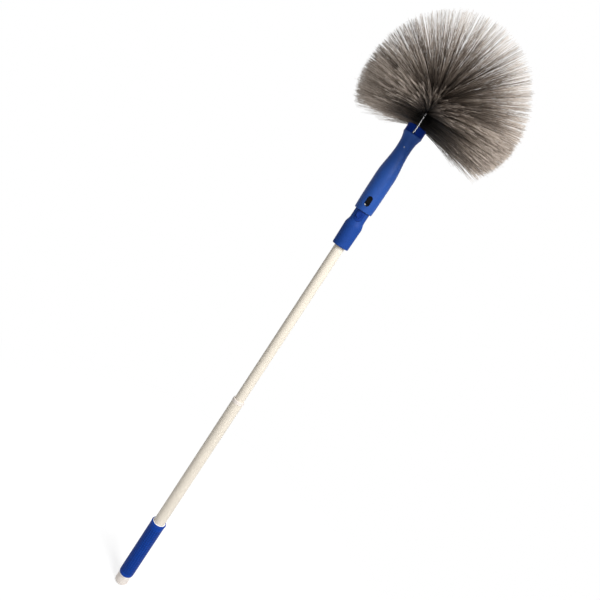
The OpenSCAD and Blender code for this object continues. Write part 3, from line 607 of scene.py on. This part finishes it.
def filament_ends(settings, place, way, low, rng):
    """Where each filament ends before it joins a tuft, which ones are strays, and how far each one sags."""
    count = len(low)
    stray = rng.uniform(size=count) < STRAYS
    reach = settings.length * (ARCH_REACH - LOW_SHORT * low**2 + rng.normal(0, LENGTH_SCATTER, count))
    reach *= np.where(stray, rng.uniform(SHORTEST_STRAY, 1, count), 1)
    sag = settings.sag * (way[:, 0] ** 2 + way[:, 1] ** 2) * (1 + LOW_SAG * low)
    tip = place + reach[:, None] * way
    tip[:, 0] += settings.lean * (1 - LOW_UPRIGHT * low)
    tip[:, 2] -= sag
    return tip, stray, sag


def in_tufts(settings, place, tip, stray, rng):
    """The ends gathered into small tufts, and these into larger locks, with each filament's tuft."""
    pull = rng.uniform(*TUFT_PULL, len(tip)) * np.where(stray, STRAY_PULL, 1)
    drawn, tuft = gathered(tip, settings.tufts, pull, rng)
    drawn, _ = gathered(drawn, settings.locks, np.full(len(tip), LOCK_PULL), rng)
    # A filament keeps its length when it turns towards its tuft
    from_root = drawn - place
    kept_length = np.linalg.norm(tip - place, axis=1) / np.linalg.norm(from_root, axis=1)
    return place + from_root * kept_length[:, None], tuft


def filament_paths(settings):
    """Five points along every filament, root to tip, its shade, and how far along the wire it stands."""
    rng = np.random.RandomState(settings.seed)
    u, length = spots_on_wire(settings, rng)
    place, out, low = wire_point(u)
    way = fanned(settings, out, low, rng)
    tip, stray, sag = filament_ends(settings, place, way, low, rng)
    drawn, tuft = in_tufts(settings, place, tip, stray, rng)
    bow = rng.normal(0, BOW, (len(u), 3))
    paths = np.empty((len(u), len(STEPS), 3))
    for i, t in enumerate(STEPS):
        paths[:, i] = place + (tip + (drawn - tip) * t**0.5 - place) * t + bow * math.sin(math.pi * t)
        paths[:, i, 2] += sag * (t - t**2)
    paths[:, 0] += wire_settings().strand * ROOT_OUT * way
    of_tuft = rng.uniform(0, 1, settings.tufts)[tuft]
    own = rng.uniform(0, 1, len(u))
    shade = TUFT_SHADE * of_tuft + (1 - TUFT_SHADE) * own
    # Low down, painted light makes the filaments to the left paler, and painted shade the ones that reach
    # forward darker
    shade += low * (LEFT_PAINTED_LIGHT * np.maximum(0, -way[:, 0]) - FRONT_PAINTED_SHADE * np.maximum(0, -way[:, 1]))
    return paths, shade, u / length


def write_along(mesh, name, rows):
    """Stores a value for each point of each four-sided tube.

    The mesh holds the end caps before the sides: the last tube's caps first, each tip before its root.
    """
    sides = 4
    rows = np.asarray(rows, np.float32)
    caps = np.repeat(rows[::-1, [-1, 0]].ravel(), sides)
    values = np.concatenate([caps, np.repeat(rows.ravel(), sides)])
    if len(values) != len(mesh.vertices):
        raise RuntimeError("the tubes' vertices aren't laid out as expected")
    mesh.attributes.new(name, "FLOAT", "POINT").data.foreach_set("value", values)


def weld(mesh):
    """Joins each tube's end caps to its sides."""
    work = bmesh.new()
    work.from_mesh(mesh)
    bmesh.ops.remove_doubles(work, verts=work.verts, dist=0.001 * MM)
    work.to_mesh(mesh)
    work.free()


# Operators


class BRUSH_OT_pole(bpy.types.Operator):
    """Finishes the enamelled tubes and the cream end cap, liner and bush"""

    bl_idname = "brush.pole"
    bl_label = "Finish the pole"

    def execute(self, context):
        colours = context.scene.brush_colours
        dress(["outer_tube", "inner_tube"], stoved_enamel(colours))
        cream = moulded_plastic("moulded cream polypropylene", colours.cream, 0.42, seam=False)
        dress(["end_cap", "guide_bush"], cream)
        dress(["grip_liner"], moulded_plastic("moulded white polypropylene", colours.rim, 0.42, seam=False))
        return {"FINISHED"}


class BRUSH_OT_grip(bpy.types.Operator):
    """Finishes the blue hand grip"""

    bl_idname = "brush.grip"
    bl_label = "Finish the grip"

    def execute(self, context):
        dress(["grip_sleeve"], grip_plastic(context.scene.brush_colours))
        return {"FINISHED"}


class BRUSH_OT_lock(bpy.types.Operator):
    """Finishes the twist lock's plug, sleeve and fixings inside the pole"""

    bl_idname = "brush.lock"
    bl_label = "Finish the twist lock"

    def execute(self, context):
        colours = context.scene.brush_colours
        nylon = moulded_plastic("moulded grey nylon", colours.lock, 0.5, seam=False)
        dress(["lock_plug", "expanding_sleeve"], nylon)
        plated = drawn_metal("zinc-plated steel", colours.steel, 0.34)
        dress(["plug_pin", "stop_washer", "stop_screw"], plated)
        return {"FINISHED"}


class BRUSH_OT_adaptor(bpy.types.Operator):
    """Finishes the adaptor, its release clip and its rivet"""

    bl_idname = "brush.adaptor"
    bl_label = "Finish the adaptor"

    def execute(self, context):
        colours = context.scene.brush_colours
        dress(["adaptor"], moulded_plastic("satin moulded blue adaptor", colours.adaptor, 0.6, 0.2))
        dress(["release_clip"], clip_plastic(colours))
        dress(["adaptor_rivet"], drawn_metal("plain aluminium rivet", colours.steel, 0.38))
        return {"FINISHED"}


class BRUSH_OT_handle(bpy.types.Operator):
    """Finishes the brush's handle, crown and pin"""

    bl_idname = "brush.handle"
    bl_label = "Finish the handle"

    def execute(self, context):
        colours = context.scene.brush_colours
        dress(["brush_handle"], moulded_plastic("satin moulded blue handle", colours.handle, 0.48, 0.26))
        dress(["crown_plug"], moulded_plastic("moulded dark blue crown", colours.dark, 0.5, 0.12, seam=False))
        dress(["anchor_pin"], drawn_metal("dull steel pin", colours.pin, 0.6))
        return {"FINISHED"}


class BRUSH_OT_wire(bpy.types.Operator):
    """Makes the two steel wires that are twisted round each other and bent into the arch"""

    bl_idname = "brush.wire"
    bl_label = "Make the twisted wire"

    def execute(self, context):
        settings = wire_settings()
        path, out = loop_path(step=0.8 * MM)
        lengths = np.concatenate([[0], np.cumsum(np.linalg.norm(np.diff(path, axis=0), axis=1))])
        turn = 2 * math.pi * lengths / settings.lay
        around = np.cos(turn)[:, None] * RIGHT + np.sin(turn)[:, None] * out
        # A hair more than half a strand from the middle, so that the two lie against each other uncut
        offset = settings.strand * 0.51
        wires = [path + offset * around, path - offset * around]
        radii = [np.full(len(path), settings.strand / 2)] * 2
        piece = tube_curve("twisted_wire", wires, radii, sides_resolution=3)
        for polygon in piece.data.polygons:
            polygon.use_smooth = True
        material = drawn_metal("drawn galvanised wire", context.scene.brush_colours.zinc, 0.22)
        finish_piece(piece, material, "brush_head", ["wire_loop"])
        return {"FINISHED"}


class BRUSH_OT_bristles(bpy.types.Operator):
    """Makes the filaments that stand out from the wire in tufts"""

    bl_idname = "brush.bristles"
    bl_label = "Make the bristles"

    def execute(self, context):
        settings = context.scene.brush_bristles
        paths, shade, share = filament_paths(settings)
        material = stiff_filament(context.scene.brush_colours)
        # Four pieces from the front leg over the arch to the rear leg, so that each stays small
        names = ("front_bristles", "upper_front_bristles", "upper_rear_bristles", "rear_bristles")
        for number, name in enumerate(names):
            chosen = (share * len(names)).astype(int) == number
            picked = paths[chosen]
            radii = [settings.thickness / 2 * TAPER] * len(picked)
            piece = tube_curve(name, picked, radii, sides_resolution=0)
            write_along(piece.data, ALONG, [STEPS] * len(picked))
            write_along(piece.data, SHADE, np.repeat(shade[chosen], len(STEPS)).reshape(len(picked), -1))
            weld(piece.data)
            finish_piece(piece, material, "brush_head", ["bristles"])
        return {"FINISHED"}


class BRUSH_OT_stage(bpy.types.Operator):
    """Sets the floor, the lights, the world and the camera"""

    bl_idname = "brush.stage"
    bl_label = "Set the stage"

    def execute(self, context):
        scene = context.scene
        scene.view_settings.view_transform = "Standard"
        self.make_floor()
        self.make_world(scene)
        self.make_lights()
        self.make_camera(scene)
        return {"FINISHED"}

    def make_floor(self):
        """A wide square just under the cap that shows white to the camera and keeps a faint shadow."""
        grid = bmesh.new()
        bmesh.ops.create_grid(grid, x_segments=1, y_segments=1, size=6.0)
        bmesh.ops.translate(grid, verts=grid.verts, vec=(0, 0, -0.5 * MM))
        mesh = bpy.data.meshes.new("floor")
        grid.to_mesh(mesh)
        grid.free()
        floor = bpy.data.objects.new("floor", mesh)
        bpy.context.scene.collection.objects.link(floor)
        mesh.materials.append(studio_floor())

    def make_world(self, scene):
        """White behind the object, in its reflections and through glass; a plain soft light elsewhere."""
        world = bpy.data.worlds.new("studio")
        scene.world = world
        world.use_nodes = True
        tree = world.node_tree
        tree.nodes.clear()
        soft = add_node(tree, "ShaderNodeBackground", inputs={"Color": (1.0, 0.99, 0.98, 1), "Strength": 0.2})
        white = add_node(tree, "ShaderNodeBackground", inputs={"Color": (1, 1, 1, 1), "Strength": 1.0})
        mixed = add_node(tree, "ShaderNodeMixShader", inputs={
            0: shows_background(tree), 1: soft.outputs[0], 2: white.outputs[0]})
        add_node(tree, "ShaderNodeOutputWorld", inputs={"Surface": mixed.outputs[0]})

    def make_lights(self):
        """A large soft key from above, the right and the front, a weak fill in front and one behind."""
        middle = Vector((0, 0, 0.75))
        for name, place, size, power in (
            ("key", (1.25, -1.3, 2.2), 1.0, 60.0),
            ("fill", (0.4, -2.2, 0.95), 1.2, 5.0),
            ("back", (0.0, 2.4, 1.5), 1.4, 34.0),
        ):
            light = bpy.data.lights.new(name, "AREA")
            light.size = size
            light.energy = power
            lamp = bpy.data.objects.new(name, light)
            lamp.location = place
            lamp.rotation_euler = (middle - Vector(place)).to_track_quat("-Z", "Y").to_euler()
            bpy.context.scene.collection.objects.link(lamp)

    def make_camera(self, scene):
        """A 36 mm lens on a 36 mm sensor, rolled so that the pole leans to the right as in the photograph."""
        stage = scene.brush_stage
        data = bpy.data.cameras.new("camera")
        data.lens = 36
        data.sensor_width = 36
        data.clip_end = 50
        camera = bpy.data.objects.new("camera", data)
        swing = Matrix.Rotation(stage.swing, 4, "Z")
        ahead = swing @ Vector((0, math.cos(stage.pitch), -math.sin(stage.pitch)))
        along_pole = swing @ Vector((0, math.sin(stage.pitch), math.cos(stage.pitch)))
        right = ahead.cross(along_pole)
        up = math.cos(stage.roll) * along_pole - math.sin(stage.roll) * right
        across = ahead.cross(up)
        aim = swing @ Vector((stage.side, 0, 0)) + Vector((0, 0, stage.height))
        place = aim - stage.distance * ahead
        turned = Matrix((across, up, -ahead)).transposed().to_4x4()
        camera.matrix_world = Matrix.Translation(place) @ turned
        scene.collection.objects.link(camera)
        scene.camera = camera


class BRUSH_PT_panel(bpy.types.Panel):
    """Lists the brush's pieces, sizes and colours"""

    bl_idname = "BRUSH_PT_panel"
    bl_label = "Cobweb brush"
    bl_space_type = "VIEW_3D"
    bl_region_type = "UI"
    bl_category = "Brush"

    def draw(self, context):
        for operator in PIECES:
            self.layout.operator(operator.bl_idname)
        for group in GROUPS:
            settings = getattr(context.scene, group)
            for name in settings.bl_rna.properties.keys():
                if name not in ("rna_type", "name"):
                    self.layout.prop(settings, name)


PIECES = (BRUSH_OT_pole, BRUSH_OT_grip, BRUSH_OT_lock, BRUSH_OT_adaptor, BRUSH_OT_handle, BRUSH_OT_wire,
          BRUSH_OT_bristles, BRUSH_OT_stage)
GROUPS = {"brush_bristles": BristleSettings, "brush_wire": WireSettings, "brush_colours": ColourSettings,
          "brush_stage": StageSettings}


def register():
    for group in GROUPS.values():
        bpy.utils.register_class(group)
    for name, group in GROUPS.items():
        setattr(bpy.types.Scene, name, bpy.props.PointerProperty(type=group))
    for operator in PIECES:
        bpy.utils.register_class(operator)
    bpy.utils.register_class(BRUSH_PT_panel)


def unregister():
    bpy.utils.unregister_class(BRUSH_PT_panel)
    for operator in reversed(PIECES):
        bpy.utils.unregister_class(operator)
    for name, group in GROUPS.items():
        delattr(bpy.types.Scene, name)
        bpy.utils.unregister_class(group)


def main():
    register()
    bpy.ops.brush.stage()
    bpy.ops.brush.pole()
    bpy.ops.brush.grip()
    bpy.ops.brush.lock()
    bpy.ops.brush.adaptor()
    bpy.ops.brush.handle()
    bpy.ops.brush.wire()
    bpy.ops.brush.bristles()


if __name__ == "__main__":
    main()
